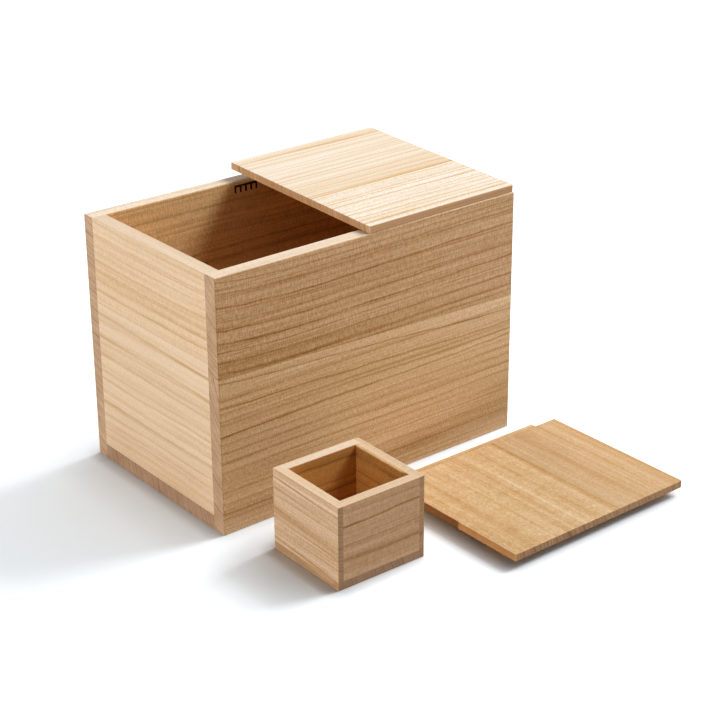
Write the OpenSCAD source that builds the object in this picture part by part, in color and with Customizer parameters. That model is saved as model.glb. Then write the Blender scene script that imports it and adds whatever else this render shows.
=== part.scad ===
// Wooden rice box with a lid in two halves and a matching square measure.
// The box stands on its underside at the origin, long side along X, front towards -Y, +Z up.
// One lid half lies on the box with its batten caught on the rear wall, so its back edge rides high.
// The other half lies on its battens in front of the box, a quarter turn from its seat.

/* [Box] */
// Outside length of the box
box_l = 280; // [220:1:340]
// Outside width of the box, front to back
box_w = 171; // [140:1:210]
// Height of the box without its lid
box_h = 200; // [170:1:260]
// Thickness of the four walls
wall_t = 12; // [9:0.5:16]
// Thickness of the bottom
bottom_t = 12; // [9:0.5:16]
// Radius of the eased edges of the box
box_edge_r = 0.8; // [0.3:0.1:2]

/* [Plank seams] */
// Height of the front wall's seam at its left end
front_seam_left = 123.5; // [90:0.5:150]
// Height of the front wall's seam at its right end
front_seam_right = 115; // [90:0.5:150]
// Height of the back wall's seam
back_seam = 152; // [90:1:160]
// Height of the seam in both end walls
end_seam = 132; // [90:1:160]
// Width of the bottom's front plank
bottom_front_w = 85; // [60:1:100]
// Width of the lid's front plank
lid_front_w = 68; // [50:1:100]

/* [Lid] */
// Thickness of the lid panels
lid_t = 6; // [4:0.5:10]
// Length of the lid half that stays on the box
lid_l = 144; // [110:1:160]
// Gap between the two halves when both are seated
lid_gap = 0.5; // [0.2:0.1:2]
// Radius of the lid's four upright corners
lid_corner_r = 1.6; // [0.8:0.1:4]
// Radius of the eased edges of the lid
lid_edge_r = 0.7; // [0.3:0.1:1.5]

/* [Battens] */
// Thickness of the battens under the lid
batten_t = 6; // [4:0.5:10]
// Width of a batten
batten_w = 24; // [16:1:32]
// Clearance between a seated batten and the walls
batten_gap = 0.2; // [0.1:0.1:1]
// How far the tongue reaches out past its lid half
tongue_reach = 13; // [8:0.5:20]
// How far the tongue is glued under its lid half
tongue_hold = 13; // [8:0.5:20]
// Radius of the eased edges of the battens
batten_edge_r = 0.8; // [0.3:0.1:1.5]

/* [Measure] */
// Outside length of the measure, along the box
measure_l = 76; // [60:0.5:95]
// Outside width of the measure
measure_w = 75; // [60:0.5:95]
// Height of the measure
measure_h = 64.5; // [45:0.5:85]
// Thickness of the measure's walls
measure_wall_t = 8; // [5:0.5:11]
// Thickness of the measure's bottom
measure_bottom_t = 6.5; // [4:0.5:10]
// End grain of a side wall that shows beside the rabbet at a corner
rabbet_lip = 4.5; // [2:0.5:4.5]
// Radius of the eased edges of the measure
measure_edge_r = 0.6; // [0.2:0.1:1.5]

/* [Placing] */
// How far the batten's end lies over the rear wall
lid_catch = 0.8; // [0.3:0.1:2]
// Turn of the lid half on the box, in degrees
lid_turn = 0.6; // [0:0.1:1]
// Distance from the box to the loose half's meeting edge
loose_front_gap = 31.5; // [24:0.5:60]
// How far the loose half lies past the box's right end
loose_past_end = 21; // [0:0.5:60]
// Distance from the box to the measure
measure_front_gap = 36.5; // [15:0.5:60]
// Distance from the loose half to the measure
measure_side_gap = 37; // [10:0.5:60]
// Turn of the measure, in degrees
measure_turn = -0.9; // [-3:0.1:3]

/* [Hidden] */
$fn = 48;

// Outside and inside faces of the box
left_x = -box_l / 2;
right_x = box_l / 2;
front_y = -box_w / 2;
back_y = box_w / 2;
inner_left_x = left_x + wall_t;
inner_right_x = right_x - wall_t;
inner_front_y = front_y + wall_t;
inner_back_y = back_y - wall_t;

// Width of the chamfer along the rim's inside edges
rim_chamfer = 0.5 * box_edge_r;
measure_chamfer = 0.75 * measure_edge_r;

// Lid halves: both as wide as the box, together as long as the box
loose_l = box_l - lid_l - lid_gap;
batten_l = box_w - 2 * (wall_t + batten_gap);
batten_inset = wall_t + batten_gap;

// The caught batten lifts the lid half until its lower rear edge lies on the rear wall
batten_far = batten_inset + batten_l;
lid_tilt = atan(batten_t / batten_far);
lid_reach = batten_far * cos(lid_tilt) + batten_t * sin(lid_tilt);
lid_front_y = inner_back_y + lid_catch - lid_reach;
lid_batten_x = lid_l - batten_inset - batten_w;
lid_pivot_x = lid_batten_x + batten_w / 2;

// Places of the loose half and the measure
loose_right_x = right_x + loose_past_end;
loose_left_x = loose_right_x - box_w;
loose_near_y = front_y - loose_front_gap - loose_l;
measure_right_x = loose_left_x - measure_side_gap;
measure_back_y = front_y - measure_front_gap;

// Colours of the wood
wall_wood = [0.80, 0.64, 0.47];
end_wood = [0.86, 0.73, 0.56];
lid_wood = [0.90, 0.78, 0.63];
loose_wood = [0.82, 0.65, 0.45];
measure_wood = [0.78, 0.62, 0.47];

// Block between two opposite corners
module slab(low, high) {
    translate(low) cube(high - low);
}

// Rectangle with round corners, from the origin
module round_rect(size, r) {
    translate([r, 0]) square([size.x - 2 * r, size.y]);
    translate([0, r]) square([size.x, size.y - 2 * r]);
    for (x = [r, size.x - r], y = [r, size.y - r])
        translate([x, y]) circle(r);
}

// Block from the origin whose twelve edges are eased, its upright edges by a radius of their own
module eased_block(size, edge_r, corner_r) {
    intersection() {
        linear_extrude(size.z) round_rect([size.x, size.y], corner_r);
        rotate([90, 0, 90]) linear_extrude(size.x) round_rect([size.y, size.z], edge_r);
        translate([0, size.y, 0]) rotate([90, 0, 0]) linear_extrude(size.y)
            round_rect([size.x, size.z], edge_r);
    }
}

// Outline of a mouth that widens upwards at 45 degrees and is as wide as the room at c below the height z
module mouth_outline(low, high, z, c) {
    polygon([[low + c, z - 2 * c], [high - c, z - 2 * c], [high + 2 * c, z + c], [low - 2 * c, z + c]]);
}

// Cutter that chamfers the inside edges of an open rim at height z, mitred at its corners
module rim_cutter(low, high, z, c) {
    margin = 3 * c;
    intersection() {
        translate([low.x - margin, 0, 0]) rotate([90, 0, 90]) linear_extrude(high.x - low.x + 2 * margin)
            mouth_outline(low.y, high.y, z, c);
        translate([0, high.y + margin, 0]) rotate([90, 0, 0]) linear_extrude(high.y - low.y + 2 * margin)
            mouth_outline(low.x, high.x, z, c);
    }
}

// Outer form of the box, solid
module box_form() {
    translate([left_x, front_y, 0]) eased_block([box_l, box_w, box_h], box_edge_r, box_edge_r);
}

module box_rim_cutter() {
    rim_cutter([inner_left_x, inner_front_y], [inner_right_x, inner_back_y], box_h, rim_chamfer);
}

// Front wall's outline below the seam, which runs on a slant, or above it
module front_share(upper) {
    low_left = upper ? front_seam_left : 0;
    low_right = upper ? front_seam_right : 0;
    high_left = upper ? box_h : front_seam_left;
    high_right = upper ? box_h : front_seam_right;
    translate([0, inner_front_y, 0]) rotate([90, 0, 0]) linear_extrude(wall_t)
        polygon([[left_x, low_left], [right_x, low_right], [right_x, high_right], [left_x, high_left]]);
}

module front_plank(upper) {
    difference() {
        intersection() {
            box_form();
            front_share(upper);
        }
        if (upper) box_rim_cutter();
    }
}

module back_plank(upper) {
    difference() {
        intersection() {
            box_form();
            slab([left_x, inner_back_y, upper ? back_seam : 0], [right_x, back_y, upper ? box_h : back_seam]);
        }
        if (upper) box_rim_cutter();
    }
}

// End wall between the long walls, standing on the bottom, with its outside at x and the room inside
module end_plank(outer_x, inner_x, upper) {
    difference() {
        intersection() {
            box_form();
            slab([min(outer_x, inner_x), inner_front_y, upper ? end_seam : bottom_t],
                 [max(outer_x, inner_x), inner_back_y, upper ? box_h : end_seam]);
        }
        if (upper) box_rim_cutter();
    }
}

// Bottom plank between the long walls, running out to both ends of the box
module bottom_plank(low_y, high_y) {
    intersection() {
        box_form();
        slab([left_x, low_y, 0], [right_x, high_y, bottom_t]);
    }
}

// Share of a lid half between two distances from its front edge, underside at z = 0
module lid_plank(length, low_y, high_y) {
    intersection() {
        eased_block([length, box_w, lid_t], lid_edge_r, lid_corner_r);
        slab([0, low_y, 0], [length, high_y, lid_t]);
    }
}

// Batten under a lid half, across its grain, from x on
module batten(x, width) {
    translate([x, batten_inset, -batten_t]) eased_block([width, batten_l, batten_t], batten_edge_r, batten_edge_r);
}

// Lid half on the box: raised at the back by its caught batten and turned a little
module on_box() {
    translate([right_x - lid_l + lid_pivot_x, lid_front_y, box_h]) rotate([0, 0, lid_turn])
        translate([-lid_pivot_x, 0, 0]) rotate([lid_tilt, 0, 0]) children();
}

// Loose lid half on the floor, its front edge to the right and its meeting edge to the box
module on_floor() {
    translate([loose_right_x, loose_near_y, batten_t]) rotate([0, 0, 90]) children();
}

module front_upper_plank() { color(wall_wood) front_plank(true); }
module front_lower_plank() { color(wall_wood) front_plank(false); }
module back_upper_plank() { color(wall_wood) back_plank(true); }
module back_lower_plank() { color(wall_wood) back_plank(false); }
module left_end_upper_plank() { color(end_wood) end_plank(left_x, inner_left_x, true); }
module left_end_lower_plank() { color(end_wood) end_plank(left_x, inner_left_x, false); }
module right_end_upper_plank() { color(end_wood) end_plank(right_x, inner_right_x, true); }
module right_end_lower_plank() { color(end_wood) end_plank(right_x, inner_right_x, false); }
module bottom_front_plank() { color(wall_wood) bottom_plank(inner_front_y, inner_front_y + bottom_front_w); }
module bottom_back_plank() { color(wall_wood) bottom_plank(inner_front_y + bottom_front_w, inner_back_y); }

module lid_front_plank() { color(lid_wood) on_box() lid_plank(lid_l, 0, lid_front_w); }
module lid_back_plank() { color(lid_wood) on_box() lid_plank(lid_l, lid_front_w, box_w); }
module lid_batten() { color(lid_wood) on_box() batten(lid_batten_x, batten_w); }

module loose_lid_front_plank() { color(loose_wood) on_floor() lid_plank(loose_l, 0, lid_front_w); }
module loose_lid_back_plank() { color(loose_wood) on_floor() lid_plank(loose_l, lid_front_w, box_w); }
module loose_lid_tongue() { color(loose_wood) on_floor() batten(loose_l - tongue_hold, tongue_hold + tongue_reach); }
module loose_lid_batten() { color(loose_wood) on_floor() batten(batten_inset, batten_w); }

// Measure in its place, from its near left corner
module measure_place() {
    translate([measure_right_x - measure_l, measure_back_y - measure_w, 0])
        rotate([0, 0, measure_turn]) children();
}

// Outer form of the measure, solid, with its inside rim edges chamfered
module measure_form() {
    difference() {
        eased_block([measure_l, measure_w, measure_h], measure_edge_r, measure_edge_r);
        rim_cutter([measure_wall_t, measure_wall_t], [measure_l - measure_wall_t, measure_w - measure_wall_t],
                 measure_h, measure_chamfer);
    }
}

// Front or back wall of the measure: its ends sit in the rabbets of the side walls
module measure_cross_wall(y) {
    intersection() {
        measure_form();
        slab([rabbet_lip, y, measure_bottom_t], [measure_l - rabbet_lip, y + measure_wall_t, measure_h]);
    }
}

// Side wall of the measure, rabbeted at both ends for the front and back walls
module measure_side_wall(x) {
    difference() {
        intersection() {
            measure_form();
            slab([x, 0, measure_bottom_t], [x + measure_wall_t, measure_w, measure_h]);
        }
        for (y = [0, measure_w - measure_wall_t])
            slab([rabbet_lip, y, measure_bottom_t], [measure_l - rabbet_lip, y + measure_wall_t, measure_h]);
    }
}

module measure_front_wall() { color(measure_wood) measure_place() measure_cross_wall(0); }
module measure_back_wall() { color(measure_wood) measure_place() measure_cross_wall(measure_w - measure_wall_t); }
module measure_left_wall() { color(measure_wood) measure_place() measure_side_wall(0); }
module measure_right_wall() { color(measure_wood) measure_place() measure_side_wall(measure_l - measure_wall_t); }
module measure_bottom() {
    color(measure_wood) measure_place() intersection() {
        measure_form();
        slab([0, 0, 0], [measure_l, measure_w, measure_bottom_t]);
    }
}

front_upper_plank();
front_lower_plank();
back_upper_plank();
back_lower_plank();
left_end_upper_plank();
left_end_lower_plank();
right_end_upper_plank();
right_end_lower_plank();
bottom_front_plank();
bottom_back_plank();
lid_front_plank();
lid_back_plank();
lid_batten();
loose_lid_front_plank();
loose_lid_back_plank();
loose_lid_tongue();
loose_lid_batten();
measure_front_wall();
measure_back_wall();
measure_left_wall();
measure_right_wall();
measure_bottom();
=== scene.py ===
"""Wooden rice box with a lid in two halves and a square measure, in plain studio light."""

import math
from dataclasses import dataclass

import bpy
from mathutils import Matrix, Vector

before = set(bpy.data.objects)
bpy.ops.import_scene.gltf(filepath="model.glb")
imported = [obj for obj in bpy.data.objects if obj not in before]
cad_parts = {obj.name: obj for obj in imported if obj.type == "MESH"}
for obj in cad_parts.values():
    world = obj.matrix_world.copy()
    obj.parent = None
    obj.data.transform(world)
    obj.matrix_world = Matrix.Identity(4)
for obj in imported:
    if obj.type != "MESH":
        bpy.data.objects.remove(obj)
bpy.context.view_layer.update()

MM = 0.001

# Camera: angles in degrees, lengths in metres, lens and sensor in millimetres
CAMERA_AZIMUTH = -38.355
CAMERA_ELEVATION = 22.507
CAMERA_ROLL = -0.549
CAMERA_DISTANCE = 1.4508
CAMERA_RIGHT = 0.0310
CAMERA_UP = 0.1110
CAMERA_LENS = 90.66
CAMERA_SENSOR = 36.0
CAMERA_SHIFT = (0.0208, -0.0833)

# Lamps far away: azimuth from +X, elevation and spread in degrees, light on a sheet that faces the lamp
LAMPS = {
    "key": (-5.0, 42.0, 26.0, 0.82),
    "front": (-38.0, 44.5, 22.0, 0.455),
    "back": (85.0, 32.0, 34.0, 0.455),
    "fill": (-172.0, 1.2, 2.4, 0.735),
}
SKY_STRENGTH = 0.10

# Floor: the one lamp that lights it, its shade for light that it sends to the object, and its shade and glow
# as the camera sees it. The glow fades near an object by powers of the open share towards that lamp, as a
# painted shadow that is deeper in front of the box by place: for each reach, one power beside the box and one
# in front of it, where the small pieces stand, with the turn in Y
FLOOR_LAMP = "key"
FLOOR_SIZE = 12.0
FLOOR_BOUNCE = 0.72
FLOOR_SHADE = (0.82, 0.86, 0.90, 1.0)
FLOOR_GLOW = 0.88
FLOOR_GLOW_SHADE = (0.90, 0.955, 0.995, 1.0)
FLOOR_SHADOW_FADES = ((0.25, 0.58, 0.58), (0.05, 0.35, 1.05), (0.012, 0.8, 2.5))
FLOOR_TURN = (-0.095, -0.115)
FLOOR_SAMPLES = 8

# Printed level mark inside the back wall, in millimetres of the frame
MARK_WALL = 73.5
MARK_DEPTH = 0.3
MARK_MIDDLE = 0.4
MARK_LEVEL = 195.6
MARK_LENGTH = 22.0
MARK_LINE = 1.9
MARK_PITCH = 5.1
MARK_TICK = 5.6
INK = (30, 20, 14)

# Growth lines with a hook rise away from this place along the board, by the hook's height at the reach
HOOK_MIDDLE = 40.0
HOOK_REACH = 180.0
HOOK_POWER = 4.0

# Darkness of the wood from one growth line to the next, across one single line, over a pore's noise, and
# from a side or an end inwards
LINE_PROFILE = ((0.0, 1.0), (1.0, 1.0), (0.07, 0.95), (0.14, 0.35), (0.40, 0.12), (0.75, 0.0), (0.93, 0.12))
SOFT_PROFILE = ((0.0, 1.0), (1.0, 1.0), (0.10, 0.80), (0.28, 0.30), (0.60, 0.0), (0.85, 0.25))
FINE_PROFILE = ((0.0, 1.0), (1.0, 1.0), (0.25, 0.2), (0.7, 0.0))
SINGLE_PROFILE = ((0.0, 1.0), (1.0, 0.0), (0.35, 0.75), (0.60, 0.25))
PORE_PROFILE = ((0.2, 0.0), (1.0, 1.0))
BAND_PROFILE = ((0.0, 1.0), (1.0, 0.0), (0.5, 0.8))
GLUE_PROFILE = ((0.0, 1.0), (1.0, 0.0))
ARRIS_PROFILE = ((0.0, 1.0), (1.0, 0.0), (0.6, 0.8))

# Growth lines: drift of the spacing from ring to ring, least strength of a line, finer rings to a line
RING_DRIFT = 0.45
LEAST_LINE = 0.35
FINE_RINGS = 3.0

# Mean strength of the lines along the board and its swing, pores between the lines and their gain in a line
FADE_MEAN = 0.9
FADE_SWING = 0.4
PORES_BETWEEN = 0.45
PORES_GAIN = 0.7

# Sizes of the grain's patches along, across and through the board, in millimetres, and the step to a new seed
WANDER_PATCH = (150.0, 60.0, 60.0)
RIPPLE_PATCH = (22.0, 7.0, 7.0)
FADE_PATCH = (40.0, 9.0, 9.0)
BAND_PATCH = (380.0, 18.0, 18.0)
STREAK_PATCH = (150.0, 1.6, 1.6)
PORE_PATCH = (4.5, 1.2, 1.2)
SPECK_PATCH = (1.3, 0.9, 0.9)
HATCH_PATCH = (1.0, 4.0, 4.0)
FIGURE_PATCH = (8.0, 20.0, 20.0)
END_PATCH = (6.0, 0.9, 0.9)
SEED_STEP = (131.0, 57.0, 23.0)

# Length along the board over which its painted light falloff is counted, in millimetres
PAINTED_FALLOFF_LENGTH = 100.0

# Cosines between which a face counts as turned a way
FACE_TURN = ((0.5, 0.0), (0.9, 1.0))

# Dark grain as a share of the colour on inner faces, edges and ends, and the tint that it takes on
INNER_DARK = 0.70
EDGE_DARK = 0.72
END_DARK = 0.74
DARK_TINT = (1.0, 0.92, 0.82)

# Strength of the grain on edges, and of the lines, specks and bands on ends
EDGE_GRAIN = 0.6
END_LINES = 1.2
END_SPECKS = 0.3
END_BANDS = 0.3

# Planed surface: roughness and its swing along the fibres, gloss, and relief in millimetres
ROUGHNESS = 0.62
ROUGHNESS_SWING = 0.05
GLOSS = 0.25
RELIEF_STRENGTH = 0.3
RELIEF_DEPTH = 0.1
STREAK_RELIEF = 0.25
PORE_RELIEF = -1.0
LINE_RELIEF = -0.5

# Power that picks faces by where they look, gain of noise, gamma of a display, sockets of a colour mix
AIM_POWER = 20
NOISE_GAIN = 3.0
DISPLAY_GAMMA = 2.2
MIX_SHARE, MIX_FROM, MIX_TO, MIX_RESULT = 0, 6, 7, 2


@dataclass(frozen=True)
class Look:
    """Wood of one board: colours are sRGB bytes, lengths millimetres, strengths shares of base to dark."""

    base: tuple
    dark: tuple
    # Inner colour: deep as painted shade on some boards, pale as painted light on others
    inner: tuple
    # Edge colour: pale on wall and measure rims, in part edge grain and in part painted light
    edge: tuple
    end: tuple
    # Growth lines: spacing, its unevenness, the log's centre across and through the board, the lines' course
    gap: float = 8.0
    uneven: float = 0.5
    pith: tuple = (-170.0, 55.0)
    slope: float = 0.0
    hook: float = 0.0
    wander: float = 3.0
    ripple: float = 0.6
    # Strength of growth lines, wide bands, fibre streaks, pores, specks, cross marks and mottling, a
    # painted light falloff as a change of depth along the board, and size of the fibres
    profile: tuple = LINE_PROFILE
    lines: float = 1.0
    bands: float = 0.20
    streaks: float = 0.25
    pores: float = 0.25
    speckle: float = 0.22
    hatch: float = 0.12
    figure: float = 0.0
    painted_falloff: float = 0.0
    fibre: float = 1.0
    # Strength of the rings on the ends
    rings: float = 0.5
    # Side that is glued to the next board, width and strength of the band along it, how much that grows along
    # the board, and width and strength of the glue line
    seam: tuple = (0, 0, 0)
    seam_band: tuple = (10.0, 0.0)
    taper: float = 0.0
    glue: tuple = (0.9, 0.25)
    # Strength of the line along the board's two ends
    arris: float = 0.0
    # Single lines: place across the board at its middle, slope, half width, strength
    singles: tuple = ()
    marked: bool = False
    seed: float = 0.0


@dataclass(frozen=True)
class Board:
    """Middle, axes and half sizes of a board: along the grain, across it, and through it."""

    middle: Vector
    axes: Matrix
    half: Vector


def linear(colour):
    """sRGB bytes as a linear colour with alpha."""
    shares = [byte / 255 for byte in colour]
    return tuple(c / 12.92 if c <= 0.04045 else ((c + 0.055) / 1.055) ** 2.4 for c in shares) + (1.0,)


def display(colour):
    """sRGB bytes as shares with alpha."""
    return tuple(byte / 255 for byte in colour) + (1.0,)


def grey(level):
    """A neutral linear colour with alpha."""
    return (level, level, level, 1.0)


def darker(colour, share):
    """A share of a colour's bytes, the green and blue a little less."""
    return tuple(byte * share * part for byte, part in zip(colour, DARK_TINT))


def facing(node, way):
    """The largest face of a CAD node that looks about that way."""
    aim = Vector(way)
    return max(node.data.polygons, key=lambda face: face.area * max(0.0, face.normal.dot(aim)) ** AIM_POWER)


def board_of(node, along, outward):
    """A board's axes and size, read from its faces: grain runs along, and outward is its broad face."""
    through = facing(node, outward).normal.copy()
    grain = facing(node, along).normal.copy()
    grain = (grain - through * grain.dot(through)).normalized()
    across = through.cross(grain)
    axes = Matrix((grain, across, through))
    spots = [axes @ vertex.co for vertex in node.data.vertices]
    low = Vector([min(spot[i] for spot in spots) for i in range(3)])
    high = Vector([max(spot[i] for spot in spots) for i in range(3)])
    return Board(axes.transposed() @ ((low + high) / 2), axes, (high - low) / 2)


class Shader:
    """A new material whose nodes are added and linked by short calls."""

    def __init__(self, name):
        self.material = bpy.data.materials.new(name)
        self.material.use_nodes = True
        self.nodes = self.material.node_tree.nodes
        self.links = self.material.node_tree.links
        self.surface = self.nodes["Principled BSDF"]

    def put(self, socket, value):
        if isinstance(value, bpy.types.NodeSocket):
            self.links.new(value, socket)
        elif value is not None:
            socket.default_value = value

    def add(self, kind, **settings):
        node = self.nodes.new(kind)
        for key, value in settings.items():
            setattr(node, key, value)
        return node

    def math(self, operation, *values, clamp=False):
        node = self.add("ShaderNodeMath", operation=operation, use_clamp=clamp)
        for socket, value in zip(node.inputs, values):
            self.put(socket, value)
        return node.outputs[0]

    def vector(self, operation, a, b):
        node = self.add("ShaderNodeVectorMath", operation=operation)
        self.put(node.inputs[0], a)
        self.put(node.inputs[1], b)
        return node.outputs["Value" if operation == "DOT_PRODUCT" else "Vector"]

    def noise(self, place, sizes, detail=1.0, roughness=0.5):
        """Noise from -1 to 1 whose patches have the given sizes along, across and through the board."""
        node = self.add("ShaderNodeTexNoise")
        self.put(node.inputs["Vector"], self.vector("DIVIDE", place, sizes))
        self.put(node.inputs["Scale"], 1.0)
        self.put(node.inputs["Detail"], detail)
        self.put(node.inputs["Roughness"], roughness)
        return self.spread(node.outputs["Fac"])

    def noise_line(self, value):
        """Noise from -1 to 1 along one number."""
        node = self.add("ShaderNodeTexNoise", noise_dimensions="1D")
        self.put(node.inputs["W"], value)
        self.put(node.inputs["Scale"], 1.0)
        self.put(node.inputs["Detail"], 1.0)
        return self.spread(node.outputs["Fac"])

    def spread(self, value):
        """Turns noise about a half into noise about nought."""
        return self.math("MULTIPLY", self.math("SUBTRACT", value, 0.5), NOISE_GAIN)

    def ramp(self, value, *stops):
        node = self.add("ShaderNodeValToRGB")
        ramp = node.color_ramp
        for spot, level in stops[2:]:
            ramp.elements.new(spot)
        for element, (spot, level) in zip(sorted(ramp.elements, key=lambda e: e.position), sorted(stops)):
            element.position = spot
            element.color = (level, level, level, 1.0)
        self.put(node.inputs["Fac"], value)
        return node.outputs["Color"]

    def mix(self, share, a, b):
        """From one colour to another, and beyond either when the share is below 0 or above 1."""
        node = self.add("ShaderNodeMix", data_type="RGBA", clamp_factor=False)
        self.put(node.inputs[MIX_SHARE], share)
        self.put(node.inputs[MIX_FROM], a)
        self.put(node.inputs[MIX_TO], b)
        return node.outputs[MIX_RESULT]

    def tint(self, share, a, b):
        """Like mix, in even steps as a display shows them, between two colours given as sRGB bytes."""
        node = self.add("ShaderNodeGamma")
        self.put(node.inputs["Color"], self.mix(share, display(a), display(b)))
        self.put(node.inputs["Gamma"], DISPLAY_GAMMA)
        return node.outputs["Color"]

    def total(self, *terms):
        """Sum of value and weight pairs."""
        value = 0.0
        for term, weight in terms:
            value = self.math("MULTIPLY_ADD", term, weight, value)
        return value


@dataclass(frozen=True)
class Grain:
    """Shader values of one board's grain: places on the board, the grain's course and its marks."""

    place: bpy.types.NodeSocket
    seeded: bpy.types.NodeSocket
    course: bpy.types.NodeSocket
    fade: bpy.types.NodeSocket
    lines: bpy.types.NodeSocket
    fine: bpy.types.NodeSocket
    bands: bpy.types.NodeSocket
    streaks: bpy.types.NodeSocket
    pores: bpy.types.NodeSocket


def split_axes(s, vector):
    """The three numbers of a vector."""
    node = s.add("ShaderNodeSeparateXYZ")
    s.put(node.inputs[0], vector)
    return node.outputs


def sized(patch, along, across):
    """A patch's sizes, scaled along the grain and the other two ways."""
    return (patch[0] * along, patch[1] * across, patch[2] * across)


def turned(s, normal, axis, both_ways):
    """One on faces that look along an axis, or along it either way, and nought on the others."""
    cosine = s.vector("DOT_PRODUCT", normal, axis)
    if both_ways:
        cosine = s.math("ABSOLUTE", cosine)
    return s.ramp(cosine, *FACE_TURN)


def place_on(s, spot, board):
    """Place along, across and through the board from its middle, in millimetres."""
    turn = s.add("ShaderNodeMapping", vector_type="TEXTURE")
    s.put(turn.inputs["Vector"], spot)
    s.put(turn.inputs["Location"], board.middle)
    s.put(turn.inputs["Rotation"], board.axes.transposed().to_euler())
    s.put(turn.inputs["Scale"], (MM, MM, MM))
    return turn.outputs["Vector"]


def course_of(s, look, place, seeded):
    """Height across the board, bent so that grain lines are where it is constant."""
    along, across, through = split_axes(s, place)
    from_middle = s.math("DIVIDE", s.math("SUBTRACT", along, HOOK_MIDDLE), HOOK_REACH)
    bent = s.math("POWER", from_middle, HOOK_POWER)
    return s.total((across, 1.0), (along, look.slope), (bent, -look.hook),
                   (s.noise(seeded, WANDER_PATCH), look.wander), (s.noise(seeded, RIPPLE_PATCH), look.ripple))


def growth_lines(s, look, place, course):
    """Dark growth lines of a board cut from a round log, and the finer rings between them."""
    reach = s.math("SUBTRACT", course, look.pith[0])
    depth = s.math("SUBTRACT", split_axes(s, place)[2], look.pith[1])
    squares = s.total((s.math("MULTIPLY", reach, reach), 1.0), (s.math("MULTIPLY", depth, depth), 1.0))
    rings = s.math("DIVIDE", s.math("SQRT", squares), look.gap)
    shift = s.noise_line(s.math("MULTIPLY_ADD", rings, RING_DRIFT, look.seed))
    rings = s.math("MULTIPLY_ADD", shift, look.uneven, rings)
    chance = s.add("ShaderNodeTexWhiteNoise", noise_dimensions="1D")
    s.put(chance.inputs["W"], s.math("ADD", s.math("FLOOR", s.math("ADD", rings, 0.5)), look.seed))
    weight = s.math("MULTIPLY_ADD", chance.outputs["Value"], 1.0 - LEAST_LINE, LEAST_LINE)
    lines = s.math("MULTIPLY", s.ramp(s.math("FRACT", rings), *look.profile), weight)
    fine = s.ramp(s.math("FRACT", s.math("MULTIPLY", rings, FINE_RINGS)), *FINE_PROFILE)
    return lines, fine


def single_lines(s, look, place, course):
    """Sum of a board's single lines, which follow its course or run off it at a slope."""
    along = split_axes(s, place)[0]
    value = 0.0
    for across, slope, half, strength in look.singles:
        off = s.math("ABSOLUTE", s.total((course, 1.0), (along, -slope), (1.0, -across)))
        line = s.ramp(s.math("DIVIDE", off, 2.0 * half), *SINGLE_PROFILE)
        value = s.math("MULTIPLY_ADD", line, strength, value)
    return value


def level_mark(s, spot):
    """A level line with ticks on the inside of the back wall, one where there is ink."""
    x, y, z = [s.math("DIVIDE", axis, MM) for axis in split_axes(s, spot)]
    on_wall = s.math("COMPARE", y, MARK_WALL, MARK_DEPTH)
    middle = s.math("SUBTRACT", x, MARK_MIDDLE)
    inside = s.math("MULTIPLY", s.math("COMPARE", middle, 0.0, MARK_LENGTH / 2), on_wall)
    line = s.math("COMPARE", z, MARK_LEVEL, MARK_LINE / 2)
    tick = s.math("COMPARE", s.math("PINGPONG", middle, MARK_PITCH / 2), 0.0, MARK_LINE / 2)
    hanging = s.math("COMPARE", z, MARK_LEVEL - MARK_TICK / 2, MARK_TICK / 2)
    ink = s.math("MAXIMUM", line, s.math("MULTIPLY", tick, hanging))
    return s.math("MULTIPLY", ink, inside)


def grain_of(s, look, place):
    """The course of a board's grain and the marks that follow it."""
    seeded = s.vector("ADD", place, [look.seed * step for step in SEED_STEP])
    course = course_of(s, look, place, seeded)
    fade = s.math("MULTIPLY_ADD", s.noise(seeded, FADE_PATCH), FADE_SWING, FADE_MEAN)
    lines, fine = growth_lines(s, look, place, course)
    lines = s.math("MULTIPLY", lines, fade)
    bands = s.noise(seeded, sized(BAND_PATCH, 1.0, look.fibre), detail=2.0)
    streaks = s.noise(seeded, sized(STREAK_PATCH, 1.0, look.fibre), detail=2.0, roughness=0.6)
    pores = s.ramp(s.noise(seeded, sized(PORE_PATCH, look.fibre, look.fibre)), *PORE_PROFILE)
    pores = s.math("MULTIPLY", pores, s.math("MULTIPLY_ADD", lines, PORES_GAIN, PORES_BETWEEN))
    return Grain(place, seeded, course, fade, lines, fine, bands, streaks, pores)


def grain_depth(s, look, grain):
    """Depth of the grain's colour, nought at the base colour and one at the dark one."""
    specks = s.noise(grain.seeded, sized(SPECK_PATCH, look.fibre, look.fibre), detail=0.0)
    hatch = s.noise(grain.seeded, sized(HATCH_PATCH, look.fibre, 1.0), detail=0.0)
    along = split_axes(s, grain.place)[0]
    # The term along the board is a painted light falloff, lighter towards the end that the grain points to
    depth = s.total((grain.lines, look.lines), (grain.bands, look.bands), (grain.streaks, look.streaks),
                    (grain.pores, look.pores), (specks, look.speckle), (hatch, look.hatch),
                    (along, -look.painted_falloff / PAINTED_FALLOFF_LENGTH))
    if look.figure:
        figure = s.noise(grain.seeded, FIGURE_PATCH, detail=3.0, roughness=0.6)
        depth = s.math("MULTIPLY_ADD", figure, look.figure, depth)
    if look.singles:
        singles = single_lines(s, look, grain.place, grain.course)
        depth = s.math("MULTIPLY_ADD", singles, grain.fade, depth)
    return depth


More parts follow.
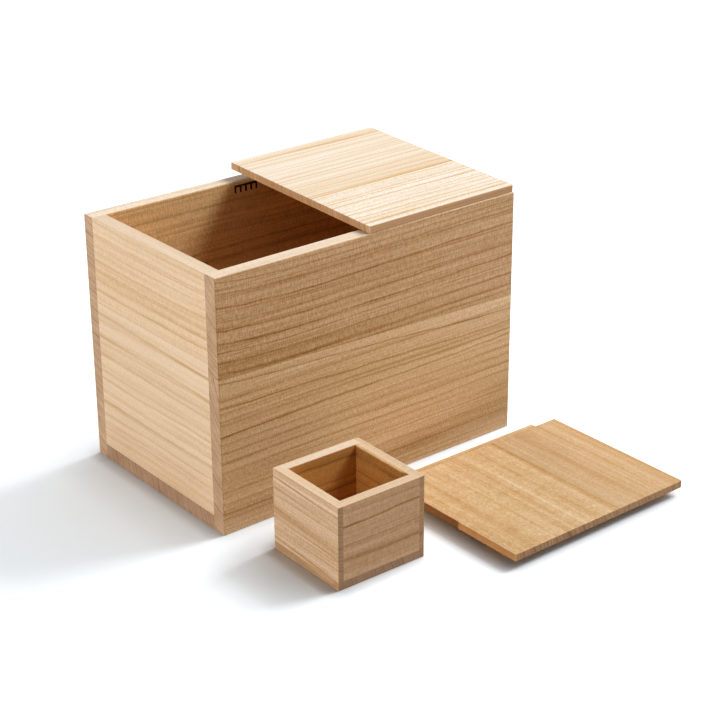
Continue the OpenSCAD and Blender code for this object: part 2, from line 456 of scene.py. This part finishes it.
def seam_depth(s, look, board, place, spot, seam_face):
    """Depth of the band and the glue line along the side that is glued to the next board."""
    away = s.vector("DOT_PRODUCT", s.vector("SUBTRACT", spot, seam_face.center), seam_face.normal)
    away = s.math("MULTIPLY", away, -1.0 / MM)
    along = split_axes(s, place)[0]
    growth = s.math("MULTIPLY_ADD", along, look.taper * MM / board.half[0], 1.0 - look.taper)
    band_width, band_strength = look.seam_band
    band = s.ramp(s.math("DIVIDE", away, band_width), *BAND_PROFILE)
    band = s.math("MULTIPLY", band, growth)
    glue_width, glue_strength = look.glue
    glue = s.ramp(s.math("DIVIDE", away, glue_width), *GLUE_PROFILE)
    return s.total((band, band_strength), (glue, glue_strength))


def arris_depth(s, look, board, place):
    """Depth of the line along the board's two ends, one millimetre wide."""
    inward = s.math("SUBTRACT", board.half[0] / MM, s.math("ABSOLUTE", split_axes(s, place)[0]))
    return s.math("MULTIPLY", s.ramp(inward, *ARRIS_PROFILE), look.arris)


def board_colour(s, look, board, grain, depth):
    """Colour of the outer and inner faces, the edges and the ends."""
    normal = s.add("ShaderNodeNewGeometry").outputs["Normal"]
    on_end = turned(s, normal, board.axes[0], both_ways=True)
    on_edge = turned(s, normal, board.axes[1], both_ways=True)
    inside = turned(s, normal, -board.axes[2], both_ways=False)
    # Inner faces take the inner colour, which is painted shade on some boards and painted light on others
    outer = s.tint(depth, look.base, look.dark)
    inner = s.tint(depth, look.inner, darker(look.inner, INNER_DARK))
    # Edges take the edge colour, pale on the rims in part as painted light
    edge = s.tint(s.math("MULTIPLY", depth, EDGE_GRAIN), look.edge, darker(look.edge, EDGE_DARK))
    specks = s.noise(grain.seeded, END_PATCH, detail=2.0)
    end_depth = s.total((grain.lines, END_LINES * look.rings), (grain.fine, look.rings),
                        (specks, END_SPECKS), (grain.bands, END_BANDS))
    end = s.tint(end_depth, look.end, darker(look.end, END_DARK))
    return s.mix(on_end, s.mix(on_edge, s.mix(inside, outer, inner), edge), end)


def planed(s, grain):
    """Dull surface with shallow relief along the grain."""
    s.put(s.surface.inputs["Roughness"], s.math("MULTIPLY_ADD", grain.streaks, ROUGHNESS_SWING, ROUGHNESS))
    s.put(s.surface.inputs["Specular IOR Level"], GLOSS)
    relief = s.total((grain.streaks, STREAK_RELIEF), (grain.pores, PORE_RELIEF), (grain.lines, LINE_RELIEF))
    bump = s.add("ShaderNodeBump")
    s.put(bump.inputs["Strength"], RELIEF_STRENGTH)
    s.put(bump.inputs["Distance"], RELIEF_DEPTH * MM)
    s.put(bump.inputs["Height"], relief)
    s.put(s.surface.inputs["Normal"], bump.outputs["Normal"])


def wood(name, board, look, seam_face):
    """Bare planed wood for one board, grained right through, with end grain on its ends."""
    s = Shader(name)
    spot = s.add("ShaderNodeTexCoord").outputs["Object"]
    place = place_on(s, spot, board)
    grain = grain_of(s, look, place)
    depth = grain_depth(s, look, grain)
    if seam_face:
        depth = s.math("ADD", depth, seam_depth(s, look, board, place, spot, seam_face))
    if look.arris:
        depth = s.math("ADD", depth, arris_depth(s, look, board, place))
    colour = board_colour(s, look, board, grain, depth)
    if look.marked:
        colour = s.mix(level_mark(s, spot), colour, linear(INK))
    s.put(s.surface.inputs["Base Color"], colour)
    planed(s, grain)
    return s.material


# Grain and broad face of each group of boards, before any turn
ALONG_X = ((1, 0, 0), (0, -1, 0))
ALONG_X_BACK = ((-1, 0, 0), (0, 1, 0))
ALONG_Y_LEFT = ((0, -1, 0), (-1, 0, 0))
ALONG_Y_RIGHT = ((0, 1, 0), (1, 0, 0))
FLAT_X = ((1, 0, 0), (0, 0, 1))
FLAT_Y = ((0, 1, 0), (0, 0, 1))
UP, DOWN = (0, 0, 1), (0, 0, -1)
TO_FRONT, TO_BACK = (0, -1, 0), (0, 1, 0)
TO_LEFT, TO_RIGHT = (-1, 0, 0), (1, 0, 0)

# Colours of the kinds of board: face, grain, inner face, edge and end. The pale edge colours of the walls and
# the measure, seen on their rims, are in part edge grain and in part painted light on the lit rims
# WALL, PINK_WALL and END_WALL inner colours are deep and saturated as painted shade for the box's dark inside
WALL = {"base": (208, 166, 121), "dark": (154, 105, 53), "inner": (203, 146, 78), "edge": (220, 198, 173),
        "end": (196, 160, 127)}
# BACK_WALL's pale inner colour is painted light for the lit part inside the back wall
BACK_WALL = {"base": (206, 164, 119), "dark": (153, 104, 52), "inner": (250, 207, 146),
             "edge": (221, 201, 177), "end": (196, 160, 127)}
PINK_WALL = {"base": (217, 178, 132), "dark": (166, 118, 64), "inner": (205, 146, 80),
             "edge": (216, 195, 170), "end": (192, 156, 124)}
END_WALL = {"base": (226, 194, 158), "dark": (190, 150, 102), "inner": (208, 150, 86),
            "edge": (212, 187, 159), "end": (196, 160, 127)}
# BASE's base colour lies on the box's inside floor, deep and saturated as painted shade
BASE = {"base": (206, 138, 62), "dark": (150, 105, 60), "inner": (206, 140, 70), "edge": (200, 158, 115),
        "end": (172, 137, 108)}
LID = {"base": (226, 210, 190), "dark": (199, 155, 99), "inner": (226, 204, 176), "edge": (203, 157, 114),
       "end": (190, 149, 107)}
LOOSE = {"base": (210, 175, 130), "dark": (170, 118, 58), "inner": (210, 170, 124), "edge": (169, 118, 69),
         "end": (178, 138, 100)}
CUP = {"base": (201, 165, 130), "dark": (152, 106, 58), "inner": (226, 180, 126), "edge": (222, 193, 159),
       "end": (162, 127, 94)}
CUP_FRONT = {**CUP, "base": (191, 151, 114), "dark": (140, 96, 52)}
# CUP_BACK's darker inner colour is painted shade and CUP_RIGHT's paler one painted light, inside the measure
CUP_BACK = {**CUP, "inner": (192, 139, 76), "edge": (232, 211, 186)}
CUP_RIGHT = {**CUP, "inner": (248, 210, 142), "end": (174, 137, 100)}
CUP_BOTTOM = {**CUP, "base": (219, 156, 82), "edge": (190, 151, 112), "end": (160, 126, 98)}
LID_FRONT = {**LID, "base": (229, 216, 199)}
END_LOWER = {**END_WALL, "base": (228, 198, 165)}
# RIGHT_END's deep inner colour is painted shade for the dark inside under the lid
RIGHT_END = {**END_WALL, "inner": (206, 138, 62)}
LOOSE_FRONT = {**LOOSE, "base": (198, 161, 118)}

# Grain and look of each board
BOARDS = {
    # Both front planks carry a painted light falloff, lighter towards the right
    "front_upper_plank": (ALONG_X, Look(
        **WALL, gap=6.0, pith=(95.0, 60.0), slope=-0.013, hook=6.0, wander=1.5, lines=0.45, streaks=0.4,
        speckle=0.28, hatch=0.26, fibre=0.8, painted_falloff=0.09, arris=0.5, seam=DOWN, seam_band=(16.0, 0.12),
        taper=-1.2, seed=1.0,
        singles=((35.0, 0.0, 0.5, 0.6), (27.0, 0.0, 0.5, 0.6), (16.5, 0.0, 0.6, 0.9), (6.0, 0.0, 0.5, 0.4),
                 (-0.5, 0.0, 0.6, 0.7), (-10.5, 0.0, 0.7, 0.9), (-17.0, 0.0, 0.5, 0.6),
                 (-25.0, 0.0, 0.5, 0.5), (-34.0, 0.0, 0.8, 0.6), (-37.0, 0.0, 9.0, -0.12)))),
    "front_lower_plank": (ALONG_X, Look(
        **PINK_WALL, gap=5.6, pith=(75.0, 60.0), wander=1.5, lines=0.4, streaks=0.34, speckle=0.34, hatch=0.2,
        fibre=0.8, painted_falloff=0.12, arris=0.5, seam=UP, seam_band=(16.0, -0.30), taper=0.5, seed=2.0,
        singles=((50.0, -0.057, 0.5, 0.9), (35.0, -0.029, 0.6, 0.8), (25.5, -0.005, 0.7, 0.5),
                 (18.5, 0.013, 0.7, 0.8), (4.0, 0.0, 0.6, 0.5), (-4.0, 0.0, 0.6, 0.6), (-11.5, 0.0, 0.6, 0.5),
                 (-27.0, 0.0, 0.6, 0.4), (-46.0, 0.0, 3.0, 0.2), (-77.5, -0.135, 9.0, -0.25),
                 (-62.0, 0.2, 16.0, 0.3)))),
    "back_upper_plank": (ALONG_X_BACK, Look(
        **BACK_WALL, gap=6.5, profile=SOFT_PROFILE, lines=0.55, streaks=0.3, hatch=0.2, seam=DOWN,
        marked=True, seed=3.0)),
    "back_lower_plank": (ALONG_X_BACK, Look(
        **BACK_WALL, gap=8.0, profile=SOFT_PROFILE, lines=0.7, seam=UP, seed=4.0)),
    "left_end_upper_plank": (ALONG_Y_LEFT, Look(
        **END_WALL, gap=6.5, profile=SOFT_PROFILE, lines=0.5, speckle=0.15, seam=DOWN,
        seam_band=(13.0, -0.05), seed=5.0,
        singles=((21.0, 0.0, 0.9, 0.3), (1.0, 0.0, 1.1, 0.45), (-8.0, 0.0, 1.0, 0.35),
                 (-15.0, 0.0, 1.0, 0.35), (-23.0, 0.0, 1.2, 0.35)))),
    "left_end_lower_plank": (ALONG_Y_LEFT, Look(
        **END_LOWER, gap=8.5, profile=SOFT_PROFILE, lines=0.42, speckle=0.12, seam=UP, seed=6.0,
        singles=((50.0, -0.034, 1.1, 0.5), (33.0, -0.034, 1.1, 0.5), (18.0, -0.02, 1.2, 0.5),
                 (5.0, -0.014, 1.2, 0.4), (-1.0, 0.0, 1.0, 0.3), (-11.0, 0.0, 1.2, 0.4),
                 (-21.0, 0.0, 1.2, 0.4), (-31.0, 0.0, 1.2, 0.4), (-39.0, 0.0, 1.0, 0.3),
                 (-50.0, 0.0, 11.0, 0.25)))),
    "right_end_upper_plank": (ALONG_Y_RIGHT, Look(
        **RIGHT_END, gap=7.0, profile=SOFT_PROFILE, seam=DOWN, seed=7.0)),
    "right_end_lower_plank": (ALONG_Y_RIGHT, Look(
        **RIGHT_END, gap=9.0, profile=SOFT_PROFILE, seam=UP, seed=8.0)),
    "bottom_front_plank": (FLAT_X, Look(**BASE, gap=8.0, seam=TO_BACK, seed=9.0)),
    "bottom_back_plank": (FLAT_X, Look(**BASE, gap=8.0, seam=TO_FRONT, seed=10.0)),
    "lid_front_plank": (FLAT_X, Look(
        **LID_FRONT, gap=6.0, uneven=0.6, lines=1.3, bands=0.1, streaks=0.4, pores=0.15, speckle=0.25,
        hatch=0.0, wander=2.0, seam=TO_BACK, seed=11.0)),
    "lid_back_plank": (FLAT_X, Look(
        **LID, gap=7.0, uneven=0.6, lines=0.75, bands=0.05, streaks=0.4, pores=0.15, speckle=0.25,
        hatch=0.0, wander=2.0, seam=TO_FRONT, seam_band=(36.0, 0.25), glue=(2.2, 0.9), seed=12.0)),
    "lid_batten": (FLAT_Y, Look(**LID, gap=6.0, seed=13.0)),
    "loose_lid_front_plank": (FLAT_Y, Look(
        **LOOSE_FRONT, gap=5.0, profile=SOFT_PROFILE, lines=0.25, streaks=0.25, speckle=0.22, fibre=1.3,
        figure=0.10, seam=TO_LEFT, seed=14.0,
        singles=((10.0, 0.0, 2.0, 0.25), (-12.0, 0.0, 1.2, 0.35), (-20.0, 0.0, 1.2, -0.2),
                 (26.0, 0.0, 3.0, -0.2), (-34.0, 0.0, 9.0, 0.22)))),
    "loose_lid_back_plank": (FLAT_Y, Look(
        **LOOSE, gap=11.0, profile=SOFT_PROFILE, lines=0.2, streaks=0.28, speckle=0.22, fibre=1.3, figure=0.2,
        seam=TO_RIGHT, seam_band=(5.0, 0.5), seed=15.0,
        singles=((-9.5, 0.0, 2.0, 0.3), (-30.0, 0.0, 2.5, 0.25), (3.0, 0.0, 2.5, -0.25),
                 (-16.0, 0.0, 2.5, -0.2), (36.0, 0.0, 14.0, 0.1)))),
    "loose_lid_tongue": (FLAT_X, Look(**LOOSE, gap=6.0, seed=16.0)),
    "loose_lid_batten": (FLAT_X, Look(**LOOSE, gap=6.0, seed=17.0)),
    "measure_front_wall": (ALONG_X, Look(
        **CUP_FRONT, gap=9.0, lines=0.2, streaks=0.3, speckle=0.16, hatch=0.12, rings=0.3, seed=18.0,
        singles=((12.0, 0.026, 0.7, 0.8), (-2.5, 0.02, 0.6, 0.25), (-13.5, -0.01, 1.2, 0.5),
                 (-26.0, 0.0, 2.5, -0.35)))),
    "measure_back_wall": (ALONG_X_BACK, Look(**CUP_BACK, gap=10.0, lines=1.2, rings=0.3, seed=19.0)),
    "measure_left_wall": (ALONG_Y_LEFT, Look(
        **CUP, gap=8.0, lines=0.35, streaks=0.42, speckle=0.16, hatch=0.12, rings=0.3, seed=20.0,
        singles=((21.0, -0.027, 0.6, 0.8), (12.0, -0.04, 0.6, 0.3), (-5.5, -0.06, 2.5, 0.3),
                 (-10.0, -0.04, 0.6, 0.35), (-26.0, -0.027, 0.7, 0.6), (23.0, 0.0, 4.0, -0.25)))),
    "measure_right_wall": (ALONG_Y_RIGHT, Look(**CUP_RIGHT, gap=10.0, lines=0.7, rings=0.3, seed=21.0)),
    "measure_bottom": (FLAT_Y, Look(**CUP_BOTTOM, gap=8.0, rings=0.25, seed=22.0)),
}


def dress_boards():
    """Gives each CAD board its own wood."""
    for name, ((along, outward), look) in BOARDS.items():
        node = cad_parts[name]
        board = board_of(node, along, outward)
        seam_face = facing(node, look.seam) if any(look.seam) else None
        material = wood(name + "_wood", board, look, seam_face)
        node.data.materials.clear()
        node.data.materials.append(material)


def direction(azimuth, elevation):
    """Unit vector at an angle from +X about the upright axis and an angle above the floor."""
    turn, rise = math.radians(azimuth), math.radians(elevation)
    return Vector((math.cos(turn) * math.cos(rise), math.sin(turn) * math.cos(rise), math.sin(rise)))


def seen_share(nodes, links):
    """One for rays that the camera, a mirror or a glass sends out, nought for light between surfaces."""
    path = nodes.new("ShaderNodeLightPath")
    total = path.outputs["Is Camera Ray"]
    for name in ("Is Glossy Ray", "Is Transmission Ray"):
        step = nodes.new("ShaderNodeMath")
        step.operation = "ADD"
        step.use_clamp = True
        links.new(total, step.inputs[0])
        links.new(path.outputs[name], step.inputs[1])
        total = step.outputs[0]
    return total


def floor_glow(s, seen):
    """Camera's view of the floor glow, faded into a painted shadow near objects towards the floor's lamp."""
    to_lamp = s.add("ShaderNodeCombineXYZ")
    for socket, value in zip(to_lamp.inputs, direction(*LAMPS[FLOOR_LAMP][:2])):
        s.put(socket, value)
    # Share of the way into the front, where the painted shadow is made deeper by place
    ahead = s.add("ShaderNodeMapRange")
    s.put(ahead.inputs["Value"], split_axes(s, s.add("ShaderNodeTexCoord").outputs["Object"])[1])
    s.put(ahead.inputs["From Min"], FLOOR_TURN[0])
    s.put(ahead.inputs["From Max"], FLOOR_TURN[1])
    glow = s.math("MULTIPLY", seen, FLOOR_GLOW)
    for reach, beside, in_front in FLOOR_SHADOW_FADES:
        power = s.total((1.0, beside), (ahead.outputs["Result"], in_front - beside))
        open_sky = s.add("ShaderNodeAmbientOcclusion", samples=FLOOR_SAMPLES)
        s.put(open_sky.inputs["Distance"], reach)
        s.put(open_sky.inputs["Normal"], to_lamp.outputs["Vector"])
        glow = s.math("MULTIPLY", s.math("POWER", open_sky.outputs["AO"], power), glow)
    return glow


def make_floor():
    """Wide pale floor that keeps the shadows."""
    half = FLOOR_SIZE / 2
    corners = [(-half, -half, 0), (half, -half, 0), (half, half, 0), (-half, half, 0)]
    mesh = bpy.data.meshes.new("floor")
    mesh.from_pydata(corners, [], [(0, 1, 2, 3)])
    floor = bpy.data.objects.new("floor", mesh)
    bpy.context.scene.collection.objects.link(floor)
    s = Shader("floor_paint")
    seen = seen_share(s.nodes, s.links)
    s.put(s.surface.inputs["Base Color"], s.mix(seen, grey(FLOOR_BOUNCE), FLOOR_SHADE))
    s.put(s.surface.inputs["Roughness"], 1.0)
    s.put(s.surface.inputs["Specular IOR Level"], 0.0)
    s.put(s.surface.inputs["Emission Color"], FLOOR_GLOW_SHADE)
    s.put(s.surface.inputs["Emission Strength"], floor_glow(s, seen))
    mesh.materials.append(s.material)
    return floor


def make_sky():
    """Faint even light all round, seen as white."""
    world = bpy.data.worlds.new("studio")
    world.use_nodes = True
    bpy.context.scene.world = world
    nodes = world.node_tree.nodes
    links = world.node_tree.links
    strength = nodes.new("ShaderNodeMapRange")
    strength.inputs["To Min"].default_value = SKY_STRENGTH
    strength.inputs["To Max"].default_value = 1.0
    links.new(seen_share(nodes, links), strength.inputs["Value"])
    nodes["Background"].inputs["Color"].default_value = grey(1.0)
    links.new(strength.outputs["Result"], nodes["Background"].inputs["Strength"])


def make_lamps(floor):
    """Soft lamps so far away that their light is even; all but one leave out the floor."""
    left_out = bpy.data.collections.new("left_out")
    left_out.objects.link(floor)
    left_out.collection_objects[0].light_linking.link_state = "EXCLUDE"
    for name, (azimuth, elevation, spread, strength) in LAMPS.items():
        light = bpy.data.lights.new(name, "SUN")
        light.energy = strength * math.pi
        light.angle = math.radians(spread)
        lamp = bpy.data.objects.new(name, light)
        lamp.rotation_euler = direction(azimuth, elevation).to_track_quat("Z", "Y").to_euler()
        if name != FLOOR_LAMP:
            lamp.light_linking.receiver_collection = left_out
        bpy.context.scene.collection.objects.link(lamp)


def make_camera():
    """Camera at the picture's angle, turned a little about its axis."""
    azimuth = math.radians(CAMERA_AZIMUTH)
    elevation = math.radians(CAMERA_ELEVATION)
    roll = math.radians(CAMERA_ROLL)
    back = Vector((math.sin(azimuth) * math.cos(elevation), -math.cos(azimuth) * math.cos(elevation),
                   math.sin(elevation)))
    level = Vector((math.cos(azimuth), math.sin(azimuth), 0.0))
    upright = back.cross(level)
    right = level * math.cos(roll) + upright * math.sin(roll)
    up = upright * math.cos(roll) - level * math.sin(roll)
    data = bpy.data.cameras.new("camera")
    data.lens = CAMERA_LENS
    data.sensor_width = CAMERA_SENSOR
    data.shift_x, data.shift_y = CAMERA_SHIFT
    camera = bpy.data.objects.new("camera", data)
    camera.matrix_world = Matrix((right, up, back)).transposed().to_4x4()
    camera.location = back * CAMERA_DISTANCE + right * CAMERA_RIGHT + up * CAMERA_UP
    bpy.context.scene.collection.objects.link(camera)
    bpy.context.scene.camera = camera


make_camera()
make_sky()
make_lamps(make_floor())
dress_boards()
bpy.context.scene.view_settings.view_transform = "Standard"
